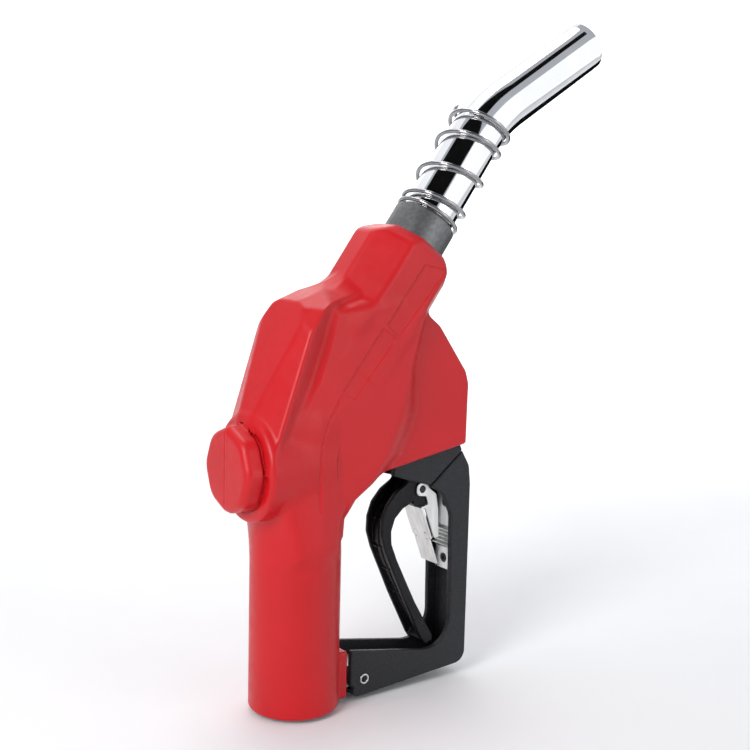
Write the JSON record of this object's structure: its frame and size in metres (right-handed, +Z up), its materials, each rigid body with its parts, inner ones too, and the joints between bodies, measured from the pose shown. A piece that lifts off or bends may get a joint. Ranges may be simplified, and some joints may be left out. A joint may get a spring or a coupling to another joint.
{
  "type": "fuel nozzle",
  "caption": "Automatic shut-off fuel nozzle with a red vinyl cover, black lever and hand guard, hold-open clip and rack, and a bent chrome spout with a spring round it.",
  "frame": {"origin": "centre of the hose inlet's mouth, on the end of the handle", "axes": "+Z up the handle, away from the hose; +X towards the lever and the hand guard; Y across, with the plane of symmetry at Y = 0"},
  "size_m": [0.2679, 0.063, 0.4104],
  "materials": {
    "red_vinyl": "soft red vinyl, half gloss",
    "cast_aluminium": "as cast, machined faces",
    "black_plastic": "moulded black nylon, fine grain",
    "collar_metal": "dull grey coating",
    "chrome": "polished",
    "stainless": "bright rolled sheet",
    "steel": "turned, plated",
    "brass": "turned",
    "rubber": "moulded"
  },
  "bodies": {
    "nozzle_body": {"scuff_guard": "red_vinyl", "body_casting": "cast_aluminium", "inlet_gasket": "rubber", "main_valve_spring": "steel", "poppet_cap": "cast_aluminium", "poppet_cap_o_ring": "rubber", "stem_packing": "rubber", "packing_nut": "brass", "vacuum_cap": "cast_aluminium", "diaphragm": "rubber", "diaphragm_spring": "steel", "trip_stem_spring": "steel", "hand_guard": "black_plastic", "guard_bracket": "black_plastic", "guard_pin": "stainless", "hold_open_rack": "stainless", "spout_collar": "collar_metal", "spout_tube": "chrome", "spout_o_ring": "rubber", "spout_spring": "chrome", "sensing_tube": "steel", "check_valve_seat": "brass", "check_valve_spring": "steel", "spring_retainer": "brass", "vacuum_cap_screw_1": "stainless", "vacuum_cap_screw_2": "stainless", "vacuum_cap_screw_3": "stainless", "vacuum_cap_screw_4": "stainless", "bracket_screw_1": "stainless", "rack_screw_1": "steel", "bracket_screw_2": "stainless", "rack_screw_2": "steel"},
    "valve": {"main_poppet": "brass", "poppet_seal": "rubber", "main_stem": "steel"},
    "trip": {"trip_stem": "steel", "latch_ball_1": "steel", "latch_ball_2": "steel", "latch_ball_3": "steel", "lever_pivot_pin": "steel"},
    "latch": {"latch_pin": "steel"},
    "trigger": {"lever": "black_plastic", "clip_pivot_pin": "steel", "clip_spring": "steel"},
    "clip": {"hold_open_clip": "stainless"},
    "check": {"check_valve": "brass"}
  },
  "joints": [
    {"name": "lever_pivot", "type": "hinge", "parent": "trip", "child": "trigger", "pos_m": [0.093, 0, 0.1633], "axis": [0, 1, 0], "range_deg": [0, 13], "stiffness_Nm_per_rad": 6, "springref_deg": -20.05},
    {"name": "valve_lift", "type": "slide", "parent": "nozzle_body", "child": "valve", "axis": [-1, 0, 0], "range_m": [0, 0.0046], "deforming": ["main_valve_spring"]},
    {"name": "trip_release", "type": "slide", "parent": "nozzle_body", "child": "trip", "axis": [0.9159, 0, -0.4014], "range_m": [0, 0.004], "stiffness_N_per_m": 600, "springref_m": -0.01, "deforming": ["trip_stem_spring"]},
    {"name": "latch_lift", "type": "slide", "parent": "nozzle_body", "child": "latch", "axis": [-0.9159, 0, 0.4014], "range_m": [0, 0.0025], "stiffness_N_per_m": 300, "springref_m": -0.003, "deforming": ["diaphragm_spring", "diaphragm"]},
    {"name": "clip_hinge", "type": "hinge", "parent": "trigger", "child": "clip", "pos_m": [0.0854, 0, 0.1218], "axis": [0, -1, 0], "range_deg": [0, 8], "stiffness_Nm_per_rad": 0.05, "springref_deg": -17.19},
    {"name": "check_lift", "type": "slide", "parent": "nozzle_body", "child": "check", "axis": [0.5807, 0, 0.8141], "range_m": [0, 0.004], "stiffness_N_per_m": 200, "springref_m": -0.002, "deforming": ["check_valve_spring"]}
  ],
  "couplings": [
    {"joint": "valve_lift", "follows": "lever_pivot", "m_per_rad": 0.0198}
  ]
}
